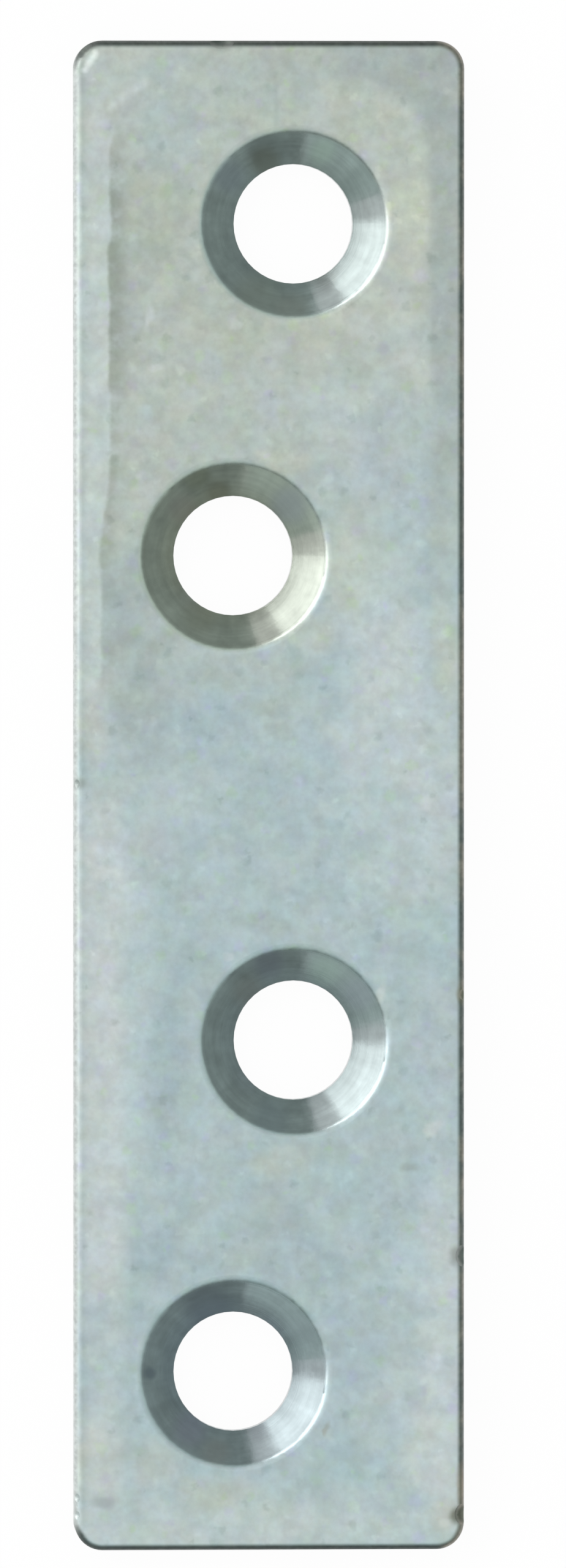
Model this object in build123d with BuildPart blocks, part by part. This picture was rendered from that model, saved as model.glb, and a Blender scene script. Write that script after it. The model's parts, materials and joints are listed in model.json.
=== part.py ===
from build123d import *
import os

# Flat mending plate: a blanked strip of zinc-plated mild steel with four staggered countersunk
# screw holes. Millimetres. The origin is the centre of the back face, which lies against the work.
# +Y runs along the strip and +Z points out of the countersunk front face.

# the blank
length = 60.0
width = 15.5
thickness = 2.0
corner_radius = 1.1
front_edge_radius = 0.3  # the roll-over that the blanking die leaves round the front face
back_edge_radius = 0.12  # the back edge is only tumbled

# the screw holes, for a 4 mm countersunk wood screw
bore_diameter = 4.75
countersink_diameter = 7.45
countersink_angle = 90.0
rim_radius = 0.45  # tumbling and plating leave a soft rim on each countersink

# the hole pattern: two pairs, staggered about the centre line, punched a little off the middle
stagger = 2.4
pair_pitch = 13.2
middle_pitch = 19.3
pattern_offset_x = -0.2
pattern_offset_y = -0.1

half_length = length / 2
half_width = width / 2
near_y = middle_pitch / 2
far_y = near_y + pair_pitch

hole_centres = [
    (pattern_offset_x + stagger / 2, pattern_offset_y + far_y),
    (pattern_offset_x - stagger / 2, pattern_offset_y + near_y),
    (pattern_offset_x + stagger / 2, pattern_offset_y - near_y),
    (pattern_offset_x - stagger / 2, pattern_offset_y - far_y),
]

# knocks in the front edge, each the bite of a ball held out along the edge's own diagonal:
# the point on the sharp edge, the way that edge faces, the ball's radius and the bite's depth
right = (1, 0, 1)
left = (-1, 0, 1)
top = (0, 1, 1)
top_left_corner = (-1, 1, 2**0.5)
corner_inset = corner_radius * (1 - 0.5**0.5)  # from the square corner to the middle of the rounding
knocks = [
    ((half_width, -7.9), right, 0.4, 0.18),
    ((half_width, -18.3), right, 0.6, 0.30),
    ((half_width, -28.6), right, 0.5, 0.35),
    ((-half_width, 0.5), left, 0.3, 0.18),
    ((-half_width, -27.9), left, 0.3, 0.18),
    ((-half_width, -28.6), left, 0.3, 0.18),
    ((-1.9, half_length), top, 0.8, 0.28),
    ((-half_width + corner_inset, half_length - corner_inset), top_left_corner, 1.4, 0.22),
]

with BuildPart() as mending_plate:
    # the blank, with its corners rounded in the flat
    with BuildSketch(Plane.XY):
        RectangleRounded(width, length, corner_radius)
    extrude(amount=thickness)
    front_face = mending_plate.faces().sort_by(Axis.Z)[-1]
    fillet(front_face.edges(), radius=front_edge_radius)
    back_face = mending_plate.faces().sort_by(Axis.Z)[0]
    fillet(back_face.edges(), radius=back_edge_radius)

    # the countersunk holes, cut from the front
    with Locations(Plane.XY.offset(thickness)):
        with Locations(hole_centres):
            CounterSinkHole(
                radius=bore_diameter / 2,
                counter_sink_radius=countersink_diameter / 2,
                counter_sink_angle=countersink_angle,
            )
    rims = mending_plate.faces().sort_by(Axis.Z)[-1].inner_wires()
    fillet([rim.edges()[0] for rim in rims], radius=rim_radius)

    # the knocks
    for (x, y), outward, ball_radius, depth in knocks:
        edge_plane = Plane(origin=(x, y, thickness), z_dir=outward)
        with Locations(edge_plane.offset(ball_radius - depth)):
            Sphere(ball_radius, mode=Mode.SUBTRACT)

mending_plate.part.label = "mending_plate"

os.makedirs("parts", exist_ok=True)
export_step(mending_plate.part, "parts/mending_plate.step")
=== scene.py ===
import json
import math

import bmesh
import bpy
from mathutils import Matrix, Vector


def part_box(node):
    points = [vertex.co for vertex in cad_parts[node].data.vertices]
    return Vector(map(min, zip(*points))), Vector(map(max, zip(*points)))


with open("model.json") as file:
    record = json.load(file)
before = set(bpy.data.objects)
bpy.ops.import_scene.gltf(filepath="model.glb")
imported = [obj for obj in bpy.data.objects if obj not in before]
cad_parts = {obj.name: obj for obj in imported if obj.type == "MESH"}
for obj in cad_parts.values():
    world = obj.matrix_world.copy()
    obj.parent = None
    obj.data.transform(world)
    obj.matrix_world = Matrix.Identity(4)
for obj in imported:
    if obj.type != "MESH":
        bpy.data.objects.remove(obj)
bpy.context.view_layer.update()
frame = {"nodes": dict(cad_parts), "record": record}

mm = 0.001
plateLow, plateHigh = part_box("mending_plate")
halfWidth = (plateHigh.x - plateLow.x) / 2 / mm      # the patterns below are in millimetres
halfLength = (plateHigh.y - plateLow.y) / 2 / mm
screwHoles = {mount["name"]: Vector(mount["pos_m"]) / mm
              for mount in frame["record"]["mounts"] if mount["kind"] == "bore"}
everywhere = 1e3                 # a size that leaves a pattern the same all along one axis
noiseSpan = (0.25, 0.75)         # nearly all of a noise lies in this range
noiseCore = (0.30, 0.70)         # and most of it in this one


# node helpers: an input takes a value or the socket that feeds it
def plug(tree, socket, value):
    if isinstance(value, bpy.types.NodeSocket):
        tree.links.new(value, socket)
    else:
        socket.default_value = value


def addNode(tree, kind, inputs, **settings):
    node = tree.nodes.new("ShaderNode" + kind)
    for name, value in settings.items():
        setattr(node, name, value)
    for place, value in inputs.items():
        plug(tree, node.inputs[place], value)
    return node


def maths(tree, operation, *values):
    return addNode(tree, "Math", dict(enumerate(values)), operation=operation).outputs[0]


def vectorMaths(tree, operation, *values):
    node = addNode(tree, "VectorMath", dict(enumerate(values)), operation=operation)
    return node.outputs["Value" if operation in ("LENGTH", "DOT_PRODUCT") else "Vector"]


def scaled(tree, vector, factor):
    return addNode(tree, "VectorMath", {0: vector, "Scale": factor}, operation="SCALE").outputs["Vector"]


def vectorOf(tree, **parts):
    return addNode(tree, "CombineXYZ", {name.upper(): value for name, value in parts.items()}).outputs[0]


def partsOf(tree, vector):
    return addNode(tree, "SeparateXYZ", {0: vector}).outputs


def softStep(tree, value, start, end, low=0.0, high=1.0):
    node = addNode(tree, "MapRange",
                   {"Value": value, "From Min": start, "From Max": end, "To Min": low, "To Max": high},
                   interpolation_type="SMOOTHSTEP")
    return node.outputs["Result"]


def mixColour(tree, share, under, over, blend="MIX"):
    node = addNode(tree, "Mix", {}, data_type="RGBA", blend_type=blend)
    for place, value in ((0, share), (6, under), (7, over)):       # the Mix node's colour sockets
        plug(tree, node.inputs[place], value)
    return node.outputs[2]


def mixValue(tree, share, under, over):
    return addNode(tree, "Mix", {0: share, 2: under, 3: over}, data_type="FLOAT").outputs[0]


def product(tree, *values):
    result = values[0]
    for value in values[1:]:
        result = maths(tree, "MULTIPLY", result, value)
    return result


def opposite(tree, value):
    return maths(tree, "SUBTRACT", 1.0, value)


def noise(tree, vector, scale, detail=2.0, roughness=0.5, output="Fac"):
    inputs = {"Vector": vector, "Scale": scale, "Detail": detail, "Roughness": roughness}
    return addNode(tree, "TexNoise", inputs).outputs[output]


def fillRamp(ramp, colours):
    while len(ramp.elements) < len(colours):
        ramp.elements.new(1.0)
    for element, (position, colour) in zip(ramp.elements, colours.items()):
        element.position = position
        element.color = colour


def newGroup(name, inputs, outputs):
    tree = bpy.data.node_groups.new(name, "ShaderNodeTree")
    for direction, sockets in (("INPUT", inputs), ("OUTPUT", outputs)):
        for socketName, kind in sockets.items():
            tree.interface.new_socket(socketName, in_out=direction, socket_type="NodeSocket" + kind)
    return tree, tree.nodes.new("NodeGroupInput").outputs, tree.nodes.new("NodeGroupOutput").inputs


def placeGroup(tree, group, **inputs):
    node = addNode(tree, "Group", {}, node_tree=group)
    for name, value in inputs.items():
        plug(tree, node.inputs[name], value)
    return node.outputs


# how far a point lies outside a rectangle with rounded corners
def makeRoundedFrame():
    tree, given, wanted = newGroup("roundedFrame",
                                   {"vector": "Vector", "centre": "Vector", "halfSize": "Vector",
                                    "corner": "Float"},
                                   {"distance": "Float"})
    offset = vectorMaths(tree, "SUBTRACT", given["vector"], given["centre"])
    fromCentre = vectorMaths(tree, "ABSOLUTE", offset)
    past = partsOf(tree, vectorMaths(tree, "SUBTRACT", fromCentre, given["halfSize"]))
    pastX = maths(tree, "ADD", past["X"], given["corner"])
    pastY = maths(tree, "ADD", past["Y"], given["corner"])
    outer = vectorOf(tree, x=maths(tree, "MAXIMUM", pastX, 0.0), y=maths(tree, "MAXIMUM", pastY, 0.0))
    inner = maths(tree, "MINIMUM", maths(tree, "MAXIMUM", pastX, pastY), 0.0)
    reach = maths(tree, "ADD", vectorMaths(tree, "LENGTH", outer), inner)
    tree.links.new(maths(tree, "SUBTRACT", reach, given["corner"]), wanted["distance"])
    return tree


# the screw hole that a point is near: the way from its axis, and a number of its own
def makeNearestHole():
    tree, given, wanted = newGroup("nearestHole", {"vector": "Vector", "reach": "Float"},
                                   {"offset": "Vector", "distance": "Float", "number": "Float"})
    flat = vectorMaths(tree, "MULTIPLY", given["vector"], (1, 1, 0))
    found = {"offset": [], "distance": [], "number": []}
    for number, centre in enumerate(screwHoles.values(), start=1):
        offset = vectorMaths(tree, "SUBTRACT", flat, (centre.x, centre.y, 0))
        distance = vectorMaths(tree, "LENGTH", offset)
        isNear = maths(tree, "LESS_THAN", distance, given["reach"])
        found["offset"].append(scaled(tree, offset, isNear))
        found["distance"].append(distance)
        found["number"].append(maths(tree, "MULTIPLY", isNear, number))
    for name, join, operation in (("offset", vectorMaths, "ADD"), ("distance", maths, "MINIMUM"),
                                  ("number", maths, "ADD")):
        total = found[name][0]
        for value in found[name][1:]:
            total = join(tree, operation, total, value)
        tree.links.new(total, wanted[name])
    return tree


# a soft oval patch: full near its middle, and gone a quarter past its half size
def makeBloom():
    tree, given, wanted = newGroup("bloom", {"vector": "Vector", "centre": "Vector", "size": "Vector"},
                                   {"mask": "Float"})
    offset = vectorMaths(tree, "SUBTRACT", given["vector"], given["centre"])
    reach = vectorMaths(tree, "LENGTH", vectorMaths(tree, "DIVIDE", offset, given["size"]))
    gone, full = 1.25, 0.35
    tree.links.new(softStep(tree, reach, gone, full), wanted["mask"])
    return tree


# a thin line from one point to another
def makeStreak():
    tree, given, wanted = newGroup("streak", {"vector": "Vector", "start": "Vector", "end": "Vector",
                                              "width": "Float"}, {"mask": "Float"})
    run = vectorMaths(tree, "SUBTRACT", given["end"], given["start"])
    offset = vectorMaths(tree, "SUBTRACT", given["vector"], given["start"])
    share = maths(tree, "DIVIDE", vectorMaths(tree, "DOT_PRODUCT", offset, run),
                  vectorMaths(tree, "DOT_PRODUCT", run, run))
    nearest = scaled(tree, run, addNode(tree, "Clamp", {"Value": share}).outputs[0])
    gap = vectorMaths(tree, "LENGTH", vectorMaths(tree, "SUBTRACT", offset, nearest))
    tree.links.new(softStep(tree, gap, given["width"], 0.0), wanted["mask"])
    return tree


# small specks: a given share of the cells holds one
def makeSpecks():
    tree, given, wanted = newGroup("specks", {"vector": "Vector", "scale": "Float", "size": "Float",
                                              "share": "Float"}, {"mask": "Float"})
    cells = addNode(tree, "TexVoronoi", {"Vector": given["vector"], "Scale": given["scale"]},
                    voronoi_dimensions="2D").outputs
    luck = addNode(tree, "SeparateColor", {0: cells["Color"]}).outputs
    chosen = maths(tree, "LESS_THAN", luck["Red"], given["share"])
    smallest, faintest, core = 0.45, 0.35, 0.20        # shares of the full size, strength and radius
    radius = product(tree, given["size"], given["scale"],
                     softStep(tree, luck["Green"], 0.0, 1.0, smallest, 1.0))
    spot = softStep(tree, maths(tree, "DIVIDE", cells["Distance"], radius), 1.0, core)
    strength = softStep(tree, luck["Blue"], 0.0, 1.0, faintest, 1.0)
    tree.links.new(product(tree, spot, chosen, strength), wanted["mask"])
    return tree


roundedFrame = makeRoundedFrame()
nearestHole = makeNearestHole()
bloom = makeBloom()
streak = makeStreak()
specks = makeSpecks()

# the zinc. Colours are linear, lengths are millimetres from the middle of the plate, and a noise is
# its scale, detail and roughness
zinc = {
    "warm": (0.475, 0.525, 0.485, 1),
    "cool": (0.440, 0.535, 0.550, 1),
    "back": (0.450, 0.505, 0.490, 1),
    "warmAlong": (2.0, 19.0), "warmSlant": -0.9,
    "grain": (2.6, 3, 0.6), "grainHeight": 0.003,
    "smear": (1.3, 3, 0.6), "faceRoughness": (0.36, 0.50),
    "front": (0.7, 1.2), "offBack": 0.05,        # heights above the back face
}

# the passivation dried in clouds of these colours
tints = {
    "blueGrey": (0.440, 0.515, 0.510, 1),
    "greenGrey": (0.450, 0.520, 0.485, 1),
    "olive": (0.425, 0.475, 0.410, 1),
    "tan": (0.505, 0.535, 0.470, 1),
    "sand": (0.545, 0.590, 0.505, 1),
    "shade": (0.380, 0.435, 0.410, 1),
    "slate": (0.385, 0.450, 0.445, 1),
    "steel": (0.390, 0.480, 0.505, 1),
    "teal": (0.430, 0.540, 0.555, 1),
    "violet": (0.470, 0.530, 0.560, 1),
    "sky": (0.490, 0.585, 0.600, 1),
    "dove": (0.500, 0.540, 0.535, 1),
    "bone": (0.545, 0.580, 0.540, 1),
    "mist": (0.520, 0.595, 0.585, 1),
    "lilac": (0.550, 0.610, 0.620, 1),
    "pearl": (0.580, 0.630, 0.630, 1),
}

# the clouds: the middle, half size, tint and strength of each
stains = [
    # the top end, round the first hole
    {"at": (-4.0, 26.3), "size": (1.7, 2.4), "tint": "blueGrey", "strength": 0.85},
    {"at": (0.0, 28.0), "size": (2.8, 1.0), "tint": "greenGrey", "strength": 0.60},
    {"at": (-5.9, 21.5), "size": (0.9, 4.8), "tint": "shade", "strength": 0.45},
    {"at": (-4.6, 22.6), "size": (1.5, 2.6), "tint": "olive", "strength": 0.65},
    {"at": (-2.6, 19.6), "size": (1.5, 1.2), "tint": "olive", "strength": 0.45},
    {"at": (-0.7, 18.4), "size": (1.3, 0.8), "tint": "olive", "strength": 0.75},
    {"at": (2.0, 18.2), "size": (2.2, 1.0), "tint": "tan", "strength": 0.70},
    {"at": (4.2, 19.3), "size": (1.7, 1.4), "tint": "bone", "strength": 0.70},
    {"at": (5.6, 23.2), "size": (0.9, 3.2), "tint": "sand", "strength": 0.85},
    {"at": (5.9, 21.6), "size": (1.0, 1.2), "tint": "bone", "strength": 0.55},
    {"at": (6.1, 19.7), "size": (0.9, 0.8), "tint": "olive", "strength": 0.40},
    {"at": (4.2, 27.2), "size": (1.8, 0.9), "tint": "sand", "strength": 0.35},
    {"at": (5.8, 16.8), "size": (1.5, 1.3), "tint": "bone", "strength": 0.55},
    {"at": (-5.1, 18.2), "size": (0.7, 1.3), "tint": "shade", "strength": 0.35},
    {"at": (-0.8, 29.0), "size": (3.6, 0.6), "tint": "slate", "strength": 0.40},
    {"at": (-6.9, 26.9), "size": (0.7, 2.8), "tint": "dove", "strength": 0.75},
    {"at": (-4.2, 28.4), "size": (2.6, 0.9), "tint": "blueGrey", "strength": 0.45},
    {"at": (5.2, 29.1), "size": (2.0, 0.7), "tint": "shade", "strength": 0.50},
    {"at": (-2.8, 16.8), "size": (1.6, 1.4), "tint": "dove", "strength": 0.30},
    # between the first hole and the second
    {"at": (2.2, 15.6), "size": (2.4, 1.6), "tint": "mist", "strength": 0.35},
    {"at": (3.2, 14.3), "size": (1.0, 0.8), "tint": "mist", "strength": 0.60},
    {"at": (0.6, 13.3), "size": (1.2, 0.7), "tint": "tan", "strength": 0.70},
    {"at": (4.6, 13.2), "size": (1.8, 1.4), "tint": "violet", "strength": 0.75},
    {"at": (5.9, 11.6), "size": (1.2, 1.2), "tint": "violet", "strength": 0.50},
    {"at": (7.0, 11.0), "size": (0.9, 2.6), "tint": "greenGrey", "strength": 0.80},
    {"at": (7.2, 13.2), "size": (1.0, 1.8), "tint": "shade", "strength": 0.50},
    {"at": (7.2, 20.3), "size": (0.9, 2.0), "tint": "shade", "strength": 0.35},
    {"at": (7.0, 5.6), "size": (0.9, 2.4), "tint": "sand", "strength": 0.60},
    {"at": (3.3, 9.3), "size": (1.5, 2.6), "tint": "sand", "strength": 0.60},
    {"at": (1.4, 6.3), "size": (1.6, 0.9), "tint": "sand", "strength": 0.55},
    {"at": (-5.9, 7.6), "size": (1.3, 2.6), "tint": "slate", "strength": 0.75},
    {"at": (-5.0, 4.0), "size": (1.2, 2.9), "tint": "slate", "strength": 0.75},
    {"at": (-3.9, 6.1), "size": (1.0, 0.9), "tint": "shade", "strength": 0.55},
    # the middle
    {"at": (4.7, 5.0), "size": (1.9, 4.4), "tint": "lilac", "strength": 0.80},
    {"at": (3.2, 1.8), "size": (1.1, 1.8), "tint": "lilac", "strength": 0.70},
    {"at": (6.4, 0.2), "size": (1.9, 4.0), "tint": "lilac", "strength": 0.70},
    {"at": (-1.4, 5.1), "size": (3.2, 0.7), "tint": "greenGrey", "strength": 0.65},
    {"at": (-2.6, 3.1), "size": (2.0, 1.2), "tint": "steel", "strength": 0.80},
    {"at": (0.6, 3.6), "size": (1.1, 1.3), "tint": "greenGrey", "strength": 0.55},
    {"at": (-3.8, 0.3), "size": (1.9, 1.0), "tint": "mist", "strength": 0.50},
    {"at": (-0.3, 0.2), "size": (1.5, 1.3), "tint": "steel", "strength": 0.50},
    {"at": (-4.8, -2.0), "size": (1.3, 1.3), "tint": "dove", "strength": 0.45},
    {"at": (3.4, -0.6), "size": (1.7, 1.5), "tint": "sky", "strength": 0.60},
    {"at": (5.2, -3.4), "size": (2.2, 1.6), "tint": "mist", "strength": 0.55},
    # round the third hole
    {"at": (-5.4, -9.0), "size": (1.0, 8.5), "tint": "sky", "strength": 0.80},
    {"at": (-4.1, -11.0), "size": (0.9, 3.6), "tint": "steel", "strength": 0.85},
    {"at": (-3.2, -6.8), "size": (1.3, 2.0), "tint": "steel", "strength": 0.45},
    {"at": (6.4, -6.0), "size": (1.3, 1.6), "tint": "teal", "strength": 0.75},
    {"at": (6.6, -10.0), "size": (1.2, 2.4), "tint": "violet", "strength": 0.60},
    {"at": (0.6, -14.4), "size": (1.6, 0.7), "tint": "tan", "strength": 0.40},
    {"at": (0.2, -16.4), "size": (1.6, 1.3), "tint": "slate", "strength": 0.50},
    {"at": (3.0, -15.4), "size": (1.8, 1.5), "tint": "teal", "strength": 0.45},
    {"at": (0.3, -5.3), "size": (1.7, 0.5), "tint": "slate", "strength": 0.45},
    {"at": (-1.1, -18.5), "size": (1.6, 0.5), "tint": "slate", "strength": 0.40},
    # round the fourth
    {"at": (-4.4, -18.4), "size": (1.7, 1.5), "tint": "steel", "strength": 0.80},
    {"at": (1.6, -18.7), "size": (1.9, 1.5), "tint": "steel", "strength": 0.75},
    {"at": (3.2, -21.5), "size": (1.0, 2.4), "tint": "steel", "strength": 0.45},
    {"at": (5.6, -18.8), "size": (1.5, 1.6), "tint": "sky", "strength": 0.70},
    {"at": (6.9, -22.0), "size": (1.2, 8.5), "tint": "lilac", "strength": 0.85},
    {"at": (5.4, -24.0), "size": (1.3, 2.0), "tint": "pearl", "strength": 0.35},
    {"at": (6.4, -26.8), "size": (1.5, 2.2), "tint": "pearl", "strength": 0.60},
    {"at": (0.0, -29.2), "size": (9.0, 1.5), "tint": "mist", "strength": 0.90},
    {"at": (-4.6, -26.9), "size": (1.2, 0.9), "tint": "dove", "strength": 0.65},
    {"at": (-6.9, -26.3), "size": (1.1, 2.2), "tint": "bone", "strength": 0.75},
    {"at": (7.0, -28.7), "size": (0.9, 0.8), "tint": "bone", "strength": 0.75},
    {"at": (3.0, -26.4), "size": (1.6, 1.4), "tint": "teal", "strength": 0.75},
    {"at": (-2.0, -27.6), "size": (1.8, 0.7), "tint": "tan", "strength": 0.55},
]

# small flecks and drips that dried apart from the clouds
flecks = [
    {"at": (-4.87, 19.10), "size": (0.22, 0.60), "tint": "pearl", "strength": 0.55},
    {"at": (-1.27, 18.80), "size": (0.35, 0.25), "tint": "pearl", "strength": 0.50},
    {"at": (-4.60, 17.07), "size": (0.40, 0.26), "tint": "pearl", "strength": 0.60},
    {"at": (-4.90, 15.30), "size": (0.34, 0.26), "tint": "mist", "strength": 0.70},
    {"at": (-2.30, 17.00), "size": (0.50, 0.80), "tint": "violet", "strength": 0.50},
    {"at": (0.00, 15.60), "size": (0.80, 0.60), "tint": "violet", "strength": 0.55},
    {"at": (-6.95, 4.10), "size": (0.70, 0.90), "tint": "pearl", "strength": 0.85},
    {"at": (-7.05, 2.60), "size": (0.80, 1.40), "tint": "bone", "strength": 0.60},
    {"at": (-7.20, 10.50), "size": (0.60, 2.80), "tint": "sky", "strength": 0.60},
    {"at": (-6.05, 19.30), "size": (0.35, 0.45), "tint": "shade", "strength": 0.60},
    {"at": (-5.06, 12.40), "size": (0.60, 0.45), "tint": "bone", "strength": 0.45},
    {"at": (4.60, 5.95), "size": (0.35, 0.28), "tint": "pearl", "strength": 0.70},
    {"at": (0.50, 3.40), "size": (0.40, 0.30), "tint": "slate", "strength": 0.70},
    {"at": (0.56, -0.15), "size": (0.30, 0.30), "tint": "slate", "strength": 0.70},
    {"at": (2.30, -1.00), "size": (0.80, 0.30), "tint": "steel", "strength": 0.70},
    {"at": (6.50, 1.80), "size": (0.40, 0.35), "tint": "greenGrey", "strength": 0.65},
    {"at": (6.20, -0.40), "size": (0.35, 0.30), "tint": "pearl", "strength": 0.60},
    {"at": (-1.65, -6.45), "size": (0.28, 0.16), "tint": "pearl", "strength": 0.50},
    {"at": (4.35, -7.80), "size": (0.22, 0.50), "tint": "pearl", "strength": 0.65},
    {"at": (6.56, -13.20), "size": (0.40, 0.28), "tint": "pearl", "strength": 0.60},
    {"at": (5.59, -14.70), "size": (0.40, 0.32), "tint": "slate", "strength": 0.80},
    {"at": (2.30, -25.05), "size": (0.14, 0.30), "tint": "shade", "strength": 0.90},
]


# no edge of a stain is ruled: the place that the patterns read wanders a little
wander = {"slow": (0.45, 4, 0.55), "firm": 0.4, "loose": 1.6, "quick": (3.2, 2, 0.6), "ragged": 0.5}


def readPlace(tree):
    place = addNode(tree, "TexCoord", {}).outputs["Object"]
    place = addNode(tree, "Mapping", {"Vector": place, "Scale": (1 / mm,) * 3}).outputs[0]
    slow = noise(tree, place, *wander["slow"], output="Color")
    slow = vectorMaths(tree, "SUBTRACT", slow, (0.5, 0.5, 0.5))
    quick = noise(tree, place, *wander["quick"], output="Color")
    return {"exact": place,
            "firm": vectorMaths(tree, "ADD", place, scaled(tree, slow, wander["firm"])),
            "loose": vectorMaths(tree, "ADD", place, scaled(tree, slow, wander["loose"])),
            "ragged": vectorMaths(tree, "ADD", place, scaled(tree, quick, wander["ragged"]))}


# each patch lies over the ones before it
def layPatches(tree, vector, colour, patches, share=None):
    for patch in patches:
        mask = placeGroup(tree, bloom, vector=vector, centre=(*patch["at"], 0),
                          size=(*patch["size"], everywhere))["mask"]
        strength = maths(tree, "MULTIPLY", mask, patch["strength"])
        if share is not None:
            strength = maths(tree, "MULTIPLY", strength, share)
        paint = tints[patch["tint"]] if "tint" in patch else patch["colour"]
        colour = mixColour(tree, strength, colour, paint)
    return colour


# warm at the top end, cool at the other, and cool sooner on the right
def faceColour(tree, place):
    loose = partsOf(tree, place["loose"])
    slanted = maths(tree, "MULTIPLY_ADD", loose["X"], zinc["warmSlant"], loose["Y"])
    warmth = softStep(tree, slanted, *zinc["warmAlong"])
    colour = mixColour(tree, warmth, zinc["cool"], zinc["warm"])
    return layPatches(tree, place["loose"], colour, stains + flecks)


# the drying mark: a frame inside the outline, clear at the top end and lost below, bent on the left.
# Its band inside the left edge is painted light, lighter on the side toward the lamp, and its band inside
# the right edge is painted shade. Each pair gives where a part of it starts to show and where it is full,
# and atCorner and atFoot are how much of it is left there
dryingMarkAndBorderLight = {
    "centre": (0.0, -1.4), "halfSize": (6.34, 29.9), "corner": 3.2,
    "bend": 0.35, "bendAlong": (13.5, 9.5), "upperHalf": (3.0, 6.0),
    "left": (0.545, 0.610, 0.595, 1), "leftStrength": 0.85,
    "leftAcross": (1.0, -3.0), "leftBorder": (-0.09, 0.12),
    "belowCorner": (27.6, 23.6), "atCorner": 0.15,
    "right": (0.395, 0.445, 0.430, 1), "rightStrength": 0.85,
    "rightAcross": (0.5, 3.5), "rightBorder": (-0.20, 0.30), "rightAlong": (11.5, 18.5),
    "tide": (0.275, 0.315, 0.285, 1), "tideStrength": 0.68,
    "tideBorder": (-0.95, -0.10), "tideAlong": (27.0, 24.5), "tideFoot": (12.0, 19.0), "atFoot": 0.5,
    "breaks": (0.9, 3, 0.6), "breaksSpan": (0.30, 0.62),
}
# painted light: below the middle the left margin turns whitish, and greyer again at the end
margin = {"across": (-5.3, -6.3), "along": (1.6, -1.6), "fade": (-21.5, -18.0), "strengths": (0.26, 0.76)}


def layDryingMarkAndBorderLight(tree, place, colour):
    look = dryingMarkAndBorderLight
    exact, loose = partsOf(tree, place["exact"]), partsOf(tree, place["loose"])
    bend = softStep(tree, exact["Y"], *look["bendAlong"], 0.0, look["bend"])
    bent = vectorMaths(tree, "ADD", place["firm"], vectorOf(tree, x=bend))
    past = placeGroup(tree, roundedFrame, vector=bent, centre=(*look["centre"], 0),
                      halfSize=(*look["halfSize"], everywhere), corner=look["corner"])["distance"]
    outside = softStep(tree, past, *look["leftBorder"])
    onLeft = softStep(tree, exact["X"], *look["leftAcross"])
    onRight = softStep(tree, exact["X"], *look["rightAcross"])
    upperHalf = softStep(tree, loose["Y"], *look["upperHalf"])
    belowCorner = softStep(tree, exact["Y"], *look["belowCorner"], look["atCorner"], 1.0)
    # painted light: the band inside the left edge is lighter
    leftLitBand = product(tree, outside, onLeft, upperHalf, belowCorner, look["leftStrength"])
    colour = mixColour(tree, leftLitBand, colour, look["left"])
    # painted shade: the band inside the right edge is darker
    rightShadedBand = product(tree, softStep(tree, past, *look["rightBorder"]), onRight,
                        softStep(tree, loose["Y"], *look["rightAlong"]), look["rightStrength"])
    colour = mixColour(tree, rightShadedBand, colour, look["right"])
    broken = softStep(tree, noise(tree, place["exact"], *look["breaks"]), *look["breaksSpan"])
    tide = product(tree, softStep(tree, past, *look["tideBorder"]), opposite(tree, outside), broken,
                   onLeft, upperHalf, softStep(tree, exact["Y"], *look["tideAlong"]),
                   softStep(tree, exact["Y"], *look["tideFoot"], look["atFoot"], 1.0), look["tideStrength"])
    colour = mixColour(tree, tide, colour, look["tide"])
    # painted light along the lower left margin
    whitish = product(tree, softStep(tree, loose["X"], *margin["across"]),
                      softStep(tree, loose["Y"], *margin["along"]),
                      softStep(tree, loose["Y"], *margin["fade"], *margin["strengths"]))
    return mixColour(tree, whitish, colour, tints["pearl"])


# mottling: blue against yellow, violet against green, light against dark
mottling = {
    "clouds": (0.9, 3, 0.65),
    "tints": {"Red": ((0.980, 1.000, 1.035, 1), (1.015, 1.000, 0.962, 1)),
              "Green": ((1.016, 0.988, 1.014, 1), (0.984, 1.010, 0.986, 1)),
              "Blue": ((0.930, 0.930, 0.930, 1), (1.070, 1.070, 1.070, 1))},
    "grain": (0.94, 1.06),
}
# specks: cells to a millimetre, radius, the share of cells that hold one, and a shift that sets each
# kind apart from the others
specksLook = [
    {"scale": 0.95, "size": 0.32, "share": 0.45, "tint": (0.86, 0.88, 0.87, 1), "shift": 0},
    {"scale": 1.15, "size": 0.30, "share": 0.40, "tint": (1.09, 1.09, 1.08, 1), "shift": 7},
    {"scale": 0.80, "size": 0.40, "share": 0.45, "tint": (0.97, 1.03, 0.89, 1), "shift": 13},
    {"scale": 0.80, "size": 0.40, "share": 0.45, "tint": (1.00, 0.95, 1.07, 1), "shift": 19},
]


def layMottling(tree, place, colour, grain):
    cloudy = noise(tree, place["exact"], *mottling["clouds"], output="Color")
    cloudy = addNode(tree, "SeparateColor", {0: cloudy}).outputs
    for channel, (low, high) in mottling["tints"].items():
        tint = mixColour(tree, softStep(tree, cloudy[channel], *noiseCore), low, high)
        colour = mixColour(tree, 1.0, colour, tint, "MULTIPLY")
    colour = scaled(tree, colour, softStep(tree, grain, *noiseSpan, *mottling["grain"]))
    for look in specksLook:
        shifted = vectorMaths(tree, "ADD", place["ragged"], (look["shift"],) * 3)
        mask = placeGroup(tree, specks, vector=shifted, scale=look["scale"], size=look["size"],
                          share=look["share"])["mask"]
        colour = mixColour(tree, mask, colour, look["tint"], "MULTIPLY")
    return colour
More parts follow.
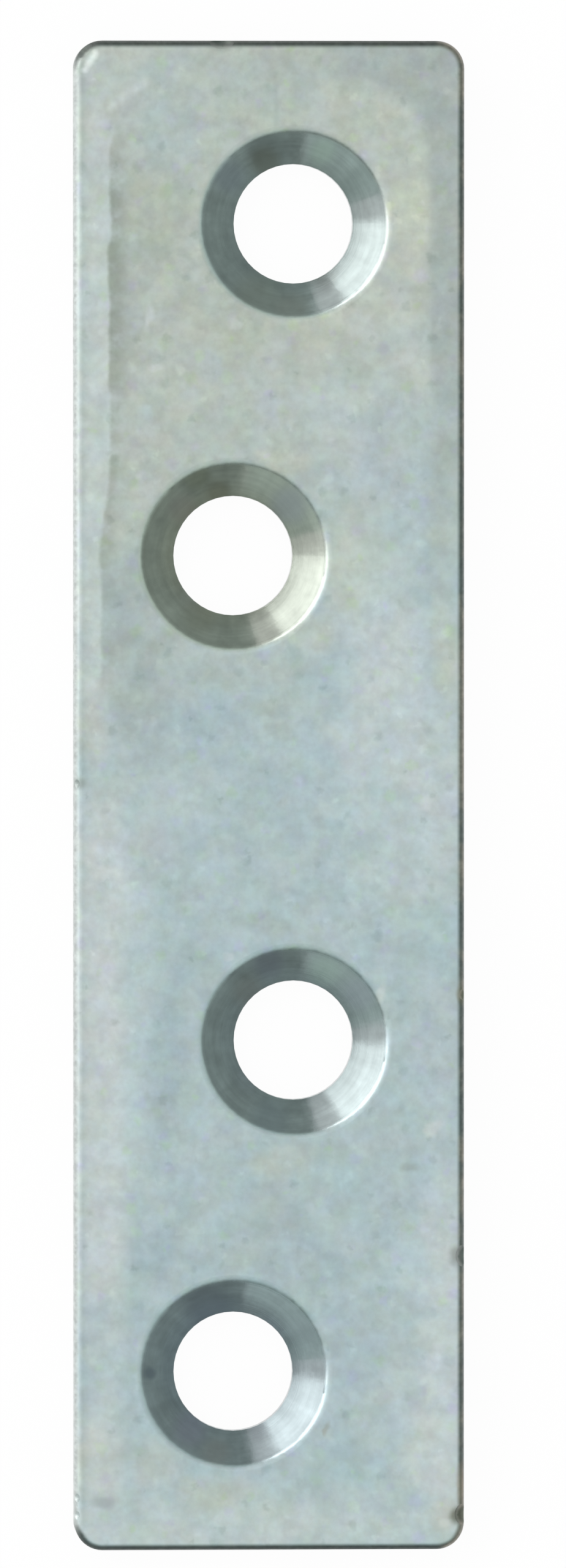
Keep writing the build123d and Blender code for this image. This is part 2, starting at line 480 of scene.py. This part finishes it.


# the countersinks are turned, so they are glossier and show the marks of the cutter. Their tone over depth
# is painted shade, darker deeper in the cone. reach, rim, bluntTo and depth are distances from a hole's axis
cones = {
    "reach": 6.0, "rim": (3.86, 3.60), "shadeLean": 0.08, "shadeLeanTowards": (-0.7, -0.7, 0),
    "roughness": (0.16, 0.22), "cuts": (30.0, 1, 0.5), "cutHeight": 0.0015, "blunt": 0.124, "bluntTo": 3.58,
    "chatter": (1.0, 3, 0.6), "chatterRound": 3.2, "chatterApart": 2.7, "chatterTones": (0.92, 1.08),
    "arcs": (1.0, 3, 0.65), "arcsRound": 0.7, "arcsOut": 4.5, "arcsApart": 3.1, "arcsTones": (0.93, 1.06),
    "smearTones": (0.90, 1.10), "depth": (2.3, 3.7), "depthShade": (0.94, 1.08),
    "plating": {
        "screw_hole_top_right": (0.363, 0.415, 0.407, 1),
        "screw_hole_top_left": (0.394, 0.426, 0.376, 1),
        "screw_hole_bottom_right": (0.348, 0.402, 0.404, 1),
        "screw_hole_bottom_left": (0.336, 0.392, 0.408, 1),
    },
}

# smudges in the countersinks, and painted shade: the dark marks near 104 to 114 degrees stand in every
# hole and paint the shade on that side of the cone. Each gives degrees round from +X, distance from the
# axis, size, colour, strength
coneSmudgesAndShade = {
    "screw_hole_top_right": [
        {"turn": 114, "reach": 2.70, "size": 0.72, "colour": (0.260, 0.270, 0.220, 1), "strength": 0.55},
        {"turn": 144, "reach": 3.20, "size": 0.78, "colour": (0.330, 0.370, 0.440, 1), "strength": 0.4},
        {"turn": 243, "reach": 3.40, "size": 1.17, "colour": (0.350, 0.370, 0.310, 1), "strength": 0.4},
        {"turn": 68, "reach": 3.05, "size": 0.59, "colour": (0.440, 0.550, 0.460, 1), "strength": 0.4},
        {"turn": 268, "reach": 3.45, "size": 0.78, "colour": (0.380, 0.380, 0.330, 1), "strength": 0.4},
        {"turn": 300, "reach": 2.50, "size": 0.49, "colour": (0.260, 0.290, 0.280, 1), "strength": 0.5},
    ],
    "screw_hole_top_left": [
        {"turn": 104, "reach": 2.65, "size": 0.52, "colour": (0.250, 0.250, 0.190, 1), "strength": 0.55},
        {"turn": 115, "reach": 3.45, "size": 0.59, "colour": (0.300, 0.320, 0.230, 1), "strength": 0.5},
        {"turn": 137, "reach": 2.75, "size": 0.65, "colour": (0.330, 0.310, 0.290, 1), "strength": 0.5},
        {"turn": 42, "reach": 3.00, "size": 0.85, "colour": (0.330, 0.350, 0.400, 1), "strength": 0.5},
        {"turn": 240, "reach": 2.80, "size": 0.78, "colour": (0.330, 0.340, 0.270, 1), "strength": 0.4},
    ],
    "screw_hole_bottom_right": [
        {"turn": 108, "reach": 3.30, "size": 0.78, "colour": (0.290, 0.310, 0.380, 1), "strength": 0.5},
        {"turn": 132, "reach": 2.65, "size": 0.78, "colour": (0.310, 0.310, 0.290, 1), "strength": 0.5},
        {"turn": 66, "reach": 3.00, "size": 0.72, "colour": (0.440, 0.550, 0.490, 1), "strength": 0.4},
        {"turn": 36, "reach": 3.20, "size": 0.78, "colour": (0.350, 0.370, 0.440, 1), "strength": 0.4},
        {"turn": 252, "reach": 3.30, "size": 0.91, "colour": (0.300, 0.360, 0.400, 1), "strength": 0.4},
    ],
    "screw_hole_bottom_left": [
        {"turn": 112, "reach": 2.85, "size": 1.10, "colour": (0.250, 0.280, 0.330, 1), "strength": 0.5},
        {"turn": 180, "reach": 3.35, "size": 0.29, "colour": (0.200, 0.240, 0.280, 1), "strength": 0.7},
        {"turn": 232, "reach": 2.90, "size": 0.78, "colour": (0.330, 0.330, 0.430, 1), "strength": 0.5},
        {"turn": 256, "reach": 3.30, "size": 0.65, "colour": (0.380, 0.380, 0.370, 1), "strength": 0.4},
        {"turn": 293, "reach": 2.55, "size": 0.47, "colour": (0.240, 0.270, 0.290, 1), "strength": 0.5},
        {"turn": 30, "reach": 3.30, "size": 0.59, "colour": (0.350, 0.400, 0.430, 1), "strength": 0.4},
    ],
}


def conePlating(tree, number):
    steps = len(screwHoles) + 1.0
    plating = addNode(tree, "ValToRGB", {0: maths(tree, "DIVIDE", number, steps)})
    fillRamp(plating.color_ramp, {(index - 0.5) / steps: cones["plating"][name]
                                  for index, name in enumerate(screwHoles, start=1)})
    plating.color_ramp.interpolation = "CONSTANT"
    return plating.outputs["Color"]


def layCones(tree, place, hole, colour, smear, offBack):
    look = cones
    around = vectorMaths(tree, "NORMALIZE", hole["offset"])
    # painted shade: the darker cone colour reaches a little further out at the lower left of every hole
    shadeLean = vectorMaths(tree, "DOT_PRODUCT", around, look["shadeLeanTowards"])
    shadeLean = maths(tree, "MULTIPLY", shadeLean, look["shadeLean"])
    cone = softStep(tree, maths(tree, "SUBTRACT", hole["distance"], shadeLean), *look["rim"])
    cone = product(tree, cone, offBack)
    # chatter runs up the cone and arcs run round it, and both differ from hole to hole
    spokes = vectorMaths(tree, "ADD", scaled(tree, around, look["chatterRound"]),
                         vectorOf(tree, z=maths(tree, "MULTIPLY", hole["number"], look["chatterApart"])))
    chatter = noise(tree, spokes, *look["chatter"])
    turns = vectorMaths(tree, "ADD", scaled(tree, around, look["arcsRound"]),
                        vectorOf(tree, x=maths(tree, "MULTIPLY", hole["distance"], look["arcsOut"]),
                                 y=maths(tree, "MULTIPLY", hole["number"], look["arcsApart"])))
    arcs = noise(tree, turns, *look["arcs"])
    # the last factor is painted shade, darker deeper in the countersink
    tone = product(tree, softStep(tree, chatter, *noiseSpan, *look["chatterTones"]),
                   softStep(tree, arcs, *noiseCore, *look["arcsTones"]),
                   softStep(tree, smear, *noiseSpan, *look["smearTones"]),
                   softStep(tree, hole["distance"], *look["depth"], *look["depthShade"]))
    plating = scaled(tree, conePlating(tree, hole["number"]), tone)
    for name, centre in screwHoles.items():
        marks = [{**coneMark, "at": (centre.x + coneMark["reach"] * math.cos(math.radians(coneMark["turn"])),
                                   centre.y + coneMark["reach"] * math.sin(math.radians(coneMark["turn"]))),
                  "size": (coneMark["size"],) * 2} for coneMark in coneSmudgesAndShade[name]]
        plating = layPatches(tree, place["firm"], plating, marks)
    return mixColour(tree, cone, colour, plating), cone


# the rolled-over and sheared edges, with painted light and shade: dark on the rim at the right, darker at
# the top and bottom, and pale on the straight left edge that faces the lamp. rim, greyBand and rolled are
# distances past the outline, minus is inside it. leftAcross, leftEnds and ends are distances in from the
# edge, and wallBelow is a height
edges = {
    "corner": 1.1, "rim": (-0.34, -0.14), "strength": 0.92, "leftThinner": 0.13, "bottomThinner": 0.05,
    "leftAcross": (0.9, 0.4), "leftEnds": (0.6, 1.3), "ends": (0.7, 0.4), "rightAcross": (6.5, 7.0),
    "greyBand": (-1.1, -0.45), "leftGrey": 0.05, "rolled": (-0.60, -0.30), "leftRoughness": 0.56,
    "dark": (0.138, 0.158, 0.148, 1), "pale": (0.640, 0.680, 0.665, 1),
    "top": (0.085, 0.095, 0.088, 1), "bottom": (0.062, 0.073, 0.068, 1),
    "wall": (0.290, 0.325, 0.308, 1), "wallBelow": (1.75, 0.80),
    "brown": (0.330, 0.300, 0.250, 1), "brownStrength": 0.75,
    "rust": (0.45, 3, 0.65), "rustSpan": (0.42, 0.62),
    "streaks": (4.0, 2, 0.6), "streakStretch": (1, 1, 0.12), "streakTones": (0.80, 1.15),
}
# at the knocks: the dark and brown marks are painted shade in the dents, and the pale ones painted highlights
# on the nicks
knockShadeAndGlints = [
    {"at": (7.62, -7.90), "size": (0.20, 0.45), "colour": (0.230, 0.230, 0.165, 1), "strength": 0.60},
    {"at": (7.52, -18.30), "size": (0.38, 0.45), "colour": (0.230, 0.250, 0.230, 1), "strength": 0.65},
    {"at": (7.50, -28.66), "size": (0.36, 0.40), "colour": (0.140, 0.145, 0.110, 1), "strength": 0.80},
    {"at": (6.95, -28.95), "size": (0.25, 0.20), "colour": (0.640, 0.690, 0.650, 1), "strength": 0.50},
    {"at": (7.62, -27.35), "size": (0.20, 0.90), "colour": (0.420, 0.350, 0.270, 1), "strength": 0.45},
    {"at": (-7.55, 0.50), "size": (0.28, 0.25), "colour": (0.300, 0.340, 0.320, 1), "strength": 0.55},
    {"at": (-7.40, -27.85), "size": (0.36, 0.30), "colour": (0.540, 0.590, 0.570, 1), "strength": 0.45},
    {"at": (-7.30, -28.60), "size": (0.36, 0.30), "colour": (0.540, 0.590, 0.570, 1), "strength": 0.45},
    {"at": (-6.65, -28.10), "size": (0.55, 0.30), "colour": (0.330, 0.380, 0.360, 1), "strength": 0.55},
    {"at": (-1.90, 29.80), "size": (0.60, 0.25), "colour": (0.200, 0.220, 0.210, 1), "strength": 0.30},
]
# two faint scratches, and a painted highlight: the glint at the top left corner
scratchesAndGlint = [
    {"from": (0.25, 28.70), "to": (0.25, 26.70), "width": 0.20,
     "colour": (0.330, 0.380, 0.350, 1), "strength": 0.25},
    {"from": (-6.30, 27.30), "to": (-4.90, 28.40), "width": 0.30,
     "colour": (0.600, 0.670, 0.650, 1), "strength": 0.50},
    # painted highlight on the rounded corner
    {"from": (-7.36, 28.85), "to": (-6.94, 29.46), "width": 0.24,
     "colour": (0.850, 0.900, 0.870, 1), "strength": 0.80},
]


def layEdges(tree, place, colour):
    look = edges
    exact = partsOf(tree, place["exact"])
    past = placeGroup(tree, roundedFrame, vector=place["exact"], halfSize=(halfWidth, halfLength, everywhere),
                      corner=look["corner"])["distance"]
    fromLeft = maths(tree, "ADD", exact["X"], halfWidth)
    fromBottom = maths(tree, "ADD", exact["Y"], halfLength)
    fromTop = maths(tree, "SUBTRACT", halfLength, exact["Y"])
    fromEnd = maths(tree, "SUBTRACT", halfLength, maths(tree, "ABSOLUTE", exact["Y"]))
    straightLeft = product(tree, softStep(tree, fromLeft, *look["leftAcross"]),
                           softStep(tree, fromEnd, *look["leftEnds"]))
    atBottom = softStep(tree, fromBottom, *look["ends"])
    atTop = softStep(tree, fromTop, *look["ends"])
    # the left edge faces the lamp: a painted highlight, a thin pale line, inside a greyer line of painted
    # shade
    grey = product(tree, straightLeft, softStep(tree, past, *look["greyBand"]), look["leftGrey"])
    colour = mixColour(tree, grey, colour, look["dark"])
    rolled = product(tree, straightLeft, softStep(tree, past, *look["rolled"]))
    past = maths(tree, "SUBTRACT", past, product(tree, straightLeft, look["leftThinner"]))
    past = maths(tree, "SUBTRACT", past, product(tree, atBottom, look["bottomThinner"]))
    side = softStep(tree, past, *look["rim"], 0.0, look["strength"])
    # painted shade on the rim at the right, darker at the top and bottom; painted highlight on the straight
    # left
    wall = mixColour(tree, straightLeft, look["dark"], look["pale"])
    wall = mixColour(tree, atBottom, mixColour(tree, atTop, wall, look["top"]), look["bottom"])
    # painted shade: the rolled-over rim is the darkest, and the wall fades to plain zinc under it
    below = product(tree, softStep(tree, exact["Z"], *look["wallBelow"]), opposite(tree, straightLeft))
    wall = mixColour(tree, below, wall, look["wall"])
    rusty = softStep(tree, noise(tree, place["exact"], *look["rust"]), *look["rustSpan"],
                     0.0, look["brownStrength"])
    onRight = softStep(tree, exact["X"], *look["rightAcross"])
    wall = mixColour(tree, product(tree, rusty, onRight), wall, look["brown"])
    # the punch left upright streaks
    upright = vectorMaths(tree, "MULTIPLY", place["exact"], look["streakStretch"])
    streaks = noise(tree, upright, *look["streaks"])
    wall = scaled(tree, wall, softStep(tree, streaks, *noiseSpan, *look["streakTones"]))
    return mixColour(tree, side, colour, wall), rolled


def layScratchesAndGlint(tree, place, colour):
    front = plateHigh.z / mm
    for stroke in scratchesAndGlint:
        mask = placeGroup(tree, streak, vector=place["firm"], start=(*stroke["from"], front),
                          end=(*stroke["to"], front), width=stroke["width"])["mask"]
        colour = mixColour(tree, product(tree, mask, stroke["strength"]), colour, stroke["colour"])
    return colour


def makeZinc():
    material = bpy.data.materials.new("zincPlatedSteel")
    material.use_nodes = True
    tree = material.node_tree
    shader = tree.nodes["Principled BSDF"]
    shader.inputs["Metallic"].default_value = 1.0
    place = readPlace(tree)
    height = partsOf(tree, place["exact"])["Z"]
    hole = placeGroup(tree, nearestHole, vector=place["exact"], reach=cones["reach"])
    grain = noise(tree, place["exact"], *zinc["grain"])
    smear = noise(tree, place["exact"], *zinc["smear"])

    # the stains are on the front only
    front = softStep(tree, height, *zinc["front"])
    offBack = maths(tree, "GREATER_THAN", height, zinc["offBack"])
    colour = layDryingMarkAndBorderLight(tree, place, faceColour(tree, place))
    colour = mixColour(tree, front, zinc["back"], layScratchesAndGlint(tree, place, colour))
    colour = layMottling(tree, place, colour, grain)
    colour, cone = layCones(tree, place, hole, colour, smear, offBack)
    colour, rolled = layEdges(tree, place, colour)
    colour = layPatches(tree, place["firm"], colour, knockShadeAndGlints, front)
    tree.links.new(colour, shader.inputs["Base Color"])

    roughness = mixValue(tree, cone, softStep(tree, grain, *noiseSpan, *zinc["faceRoughness"]),
                         softStep(tree, smear, *noiseSpan, *cones["roughness"]))
    roughness = mixValue(tree, rolled, roughness, edges["leftRoughness"])
    tree.links.new(roughness, shader.inputs["Roughness"])

    # the cutter was a few degrees blunter than the cone, up to the rounding of the rim
    cuts = noise(tree, vectorOf(tree, x=hole["distance"], y=hole["number"]), *cones["cuts"])
    blunt = maths(tree, "MAXIMUM", maths(tree, "SUBTRACT", cones["bluntTo"], hole["distance"]), 0.0)
    turned = maths(tree, "ADD", product(tree, blunt, offBack, cones["blunt"]),
                   product(tree, cuts, cone, cones["cutHeight"]))
    fine = addNode(tree, "Bump", {"Height": grain, "Distance": zinc["grainHeight"] * mm})
    shaped = addNode(tree, "Bump", {"Height": turned, "Distance": mm, "Normal": fine.outputs[0]})
    tree.links.new(shaped.outputs[0], shader.inputs["Normal"])
    return material


plate = frame["nodes"]["mending_plate"]
plate.material_slots[0].material = makeZinc()
print("zinc plating done")


# the floor and the cards are stage pieces
def stageShape(name, shape, material):
    mesh = bpy.data.meshes.new(name)
    shape.to_mesh(mesh)
    shape.free()
    mesh.materials.append(material)
    piece = bpy.data.objects.new(name, mesh)
    bpy.context.scene.collection.objects.link(piece)
    return piece


# a white floor that keeps the plate's shadow, a hair under the back face
floorLook = {"size": 8.0, "tone": 0.8, "roughness": 0.9, "glow": 0.96, "gap": 0.05}


def paintFloor():
    material = bpy.data.materials.new("paleFloor")
    material.use_nodes = True
    tree = material.node_tree
    shader = tree.nodes["Principled BSDF"]
    shader.inputs["Base Color"].default_value = (*(floorLook["tone"],) * 3, 1)
    shader.inputs["Roughness"].default_value = floorLook["roughness"]
    glow = addNode(tree, "Emission", {"Strength": 1.0}).outputs[0]
    ray = addNode(tree, "LightPath", {}).outputs
    seen = maths(tree, "ADD", ray["Is Camera Ray"],
                 maths(tree, "ADD", ray["Is Glossy Ray"], ray["Is Transmission Ray"]))
    mix = addNode(tree, "MixShader", {0: maths(tree, "MULTIPLY", seen, floorLook["glow"]),
                                      1: shader.outputs[0], 2: glow})
    tree.links.new(mix.outputs[0], tree.nodes["Material Output"].inputs["Surface"])
    return material


def makeFloor():
    shape = bmesh.new()
    bmesh.ops.create_grid(shape, x_segments=1, y_segments=1, size=floorLook["size"] / 2)
    bmesh.ops.translate(shape, verts=shape.verts, vec=(0, 0, plateLow.z - floorLook["gap"] * mm))
    stageShape("floor", shape, paintFloor())


makeFloor()
print("floor done")

# cards round the plate, seen only in the metal: where they start and end in degrees from +X,
# and their tone at each height in degrees above the floor
cardTint = (0.97, 1.10, 1.06)
cards = {
    "rightCard": {"radius": 0.40, "from": -50, "to": 102, "tones": {0: 0.36, 28: 0.42, 58: 1.0}},
    "lowCard": {"radius": 0.40, "from": 265, "to": 310, "tones": {0: 0.30, 30: 0.30, 62: 1.0}},
    "sideCard": {"radius": 0.41, "from": 196, "to": 264,
                 "tones": {0: 0.67, 16: 0.67, 23: 0.32, 38: 0.32, 54: 1.0}},
}
cardSteps = {"up": 10, "round": 40}


def paintCard(name, card):
    paint = bpy.data.materials.new(name)
    paint.use_nodes = True
    tree = paint.node_tree
    tree.nodes.remove(tree.nodes["Principled BSDF"])
    place = addNode(tree, "TexCoord", {}).outputs["Object"]
    height = maths(tree, "DIVIDE", partsOf(tree, place)["Z"], card["radius"])
    tones = addNode(tree, "ValToRGB", {0: height})
    fillRamp(tones.color_ramp, {math.sin(math.radians(angle)): (*(part * tone for part in cardTint), 1)
                                for angle, tone in card["tones"].items()})
    glow = addNode(tree, "Emission", {"Color": tones.outputs["Color"], "Strength": 1.0}).outputs[0]
    tree.links.new(glow, tree.nodes["Material Output"].inputs["Surface"])
    paint.cycles.emission_sampling = "NONE"
    return paint


def makeCard(name, card):
    start = math.radians(card["from"])
    foot = Vector((math.cos(start), math.sin(start), 0)) * card["radius"]
    across = Vector((math.sin(start), -math.cos(start), 0))
    top = math.radians(max(card["tones"]))
    shape = bmesh.new()
    arc = [shape.verts.new(foot)]
    for step in range(1, cardSteps["up"] + 1):
        arc.append(shape.verts.new(Matrix.Rotation(top * step / cardSteps["up"], 3, across) @ foot))
    arcEdges = [shape.edges.new(pair) for pair in zip(arc, arc[1:])]
    bmesh.ops.spin(shape, geom=arc + arcEdges, cent=(0, 0, 0), axis=(0, 0, 1),
                   angle=math.radians(card["to"] - card["from"]), steps=cardSteps["round"])
    piece = stageShape(name, shape, paintCard(name, card))
    piece.visible_camera = False
    piece.visible_diffuse = False
    piece.visible_shadow = False


for name, card in cards.items():
    makeCard(name, card)
print("cards done")

# light
world = bpy.data.worlds.new("studio")
bpy.context.scene.world = world
world.use_nodes = True
background = world.node_tree.nodes["Background"]
background.inputs["Color"].default_value = (1, 1, 1, 1)
background.inputs["Strength"].default_value = 1.0

# soft lamps at the upper left: the low one lights the far walls of the cones, the high one their rims
lamps = {
    "keyLamp": {"azimuth": 150, "elevation": 20, "distance": 1.50,
                "width": 1.65, "height": 1.00, "power": 5.6},
    "highLamp": {"azimuth": 150, "elevation": 42, "distance": 1.50,
                 "width": 1.70, "height": 0.35, "power": 5.0},
}


def addSoftbox(name, look):
    lamp = bpy.data.lights.new(name, "AREA")
    lamp.shape = "RECTANGLE"
    lamp.size, lamp.size_y = look["width"], look["height"]
    lamp.energy = look["power"]
    softbox = bpy.data.objects.new(name, lamp)
    bpy.context.scene.collection.objects.link(softbox)
    azimuth, elevation = math.radians(look["azimuth"]), math.radians(look["elevation"])
    away = Vector((math.cos(azimuth) * math.cos(elevation), math.sin(azimuth) * math.cos(elevation),
                   math.sin(elevation)))
    softbox.location = (plateLow + plateHigh) / 2 + away * look["distance"]
    softbox.rotation_mode = "QUATERNION"
    softbox.rotation_quaternion = away.to_track_quat("Z", "Y")


for name, look in lamps.items():
    addSoftbox(name, look)
print("light done")

# the camera stands above the plate, a little to its left
cameraLook = {"place": (-27.4, 14.3, 600.0), "aim": (0.53, 0.485), "lens": 346, "sensor": 36, "nearest": 10.0}


def addCamera():
    lens = bpy.data.cameras.new("camera")
    lens.lens = cameraLook["lens"]
    lens.sensor_width = cameraLook["sensor"]
    lens.clip_start = cameraLook["nearest"] * mm
    camera = bpy.data.objects.new("camera", lens)
    bpy.context.scene.collection.objects.link(camera)
    camera.location = Vector(cameraLook["place"]) * mm
    aim = Vector((*cameraLook["aim"], plateHigh.z / mm)) * mm
    backward = (camera.location - aim).normalized()
    sideways = Vector((0, 1, 0)).cross(backward).normalized()      # keeps the plate upright in the view
    upward = backward.cross(sideways)
    camera.rotation_mode = "QUATERNION"
    camera.rotation_quaternion = Matrix((sideways, upward, backward)).transposed().to_quaternion()
    bpy.context.scene.camera = camera


addCamera()
bpy.context.scene.view_settings.view_transform = "Standard"
print("camera done")
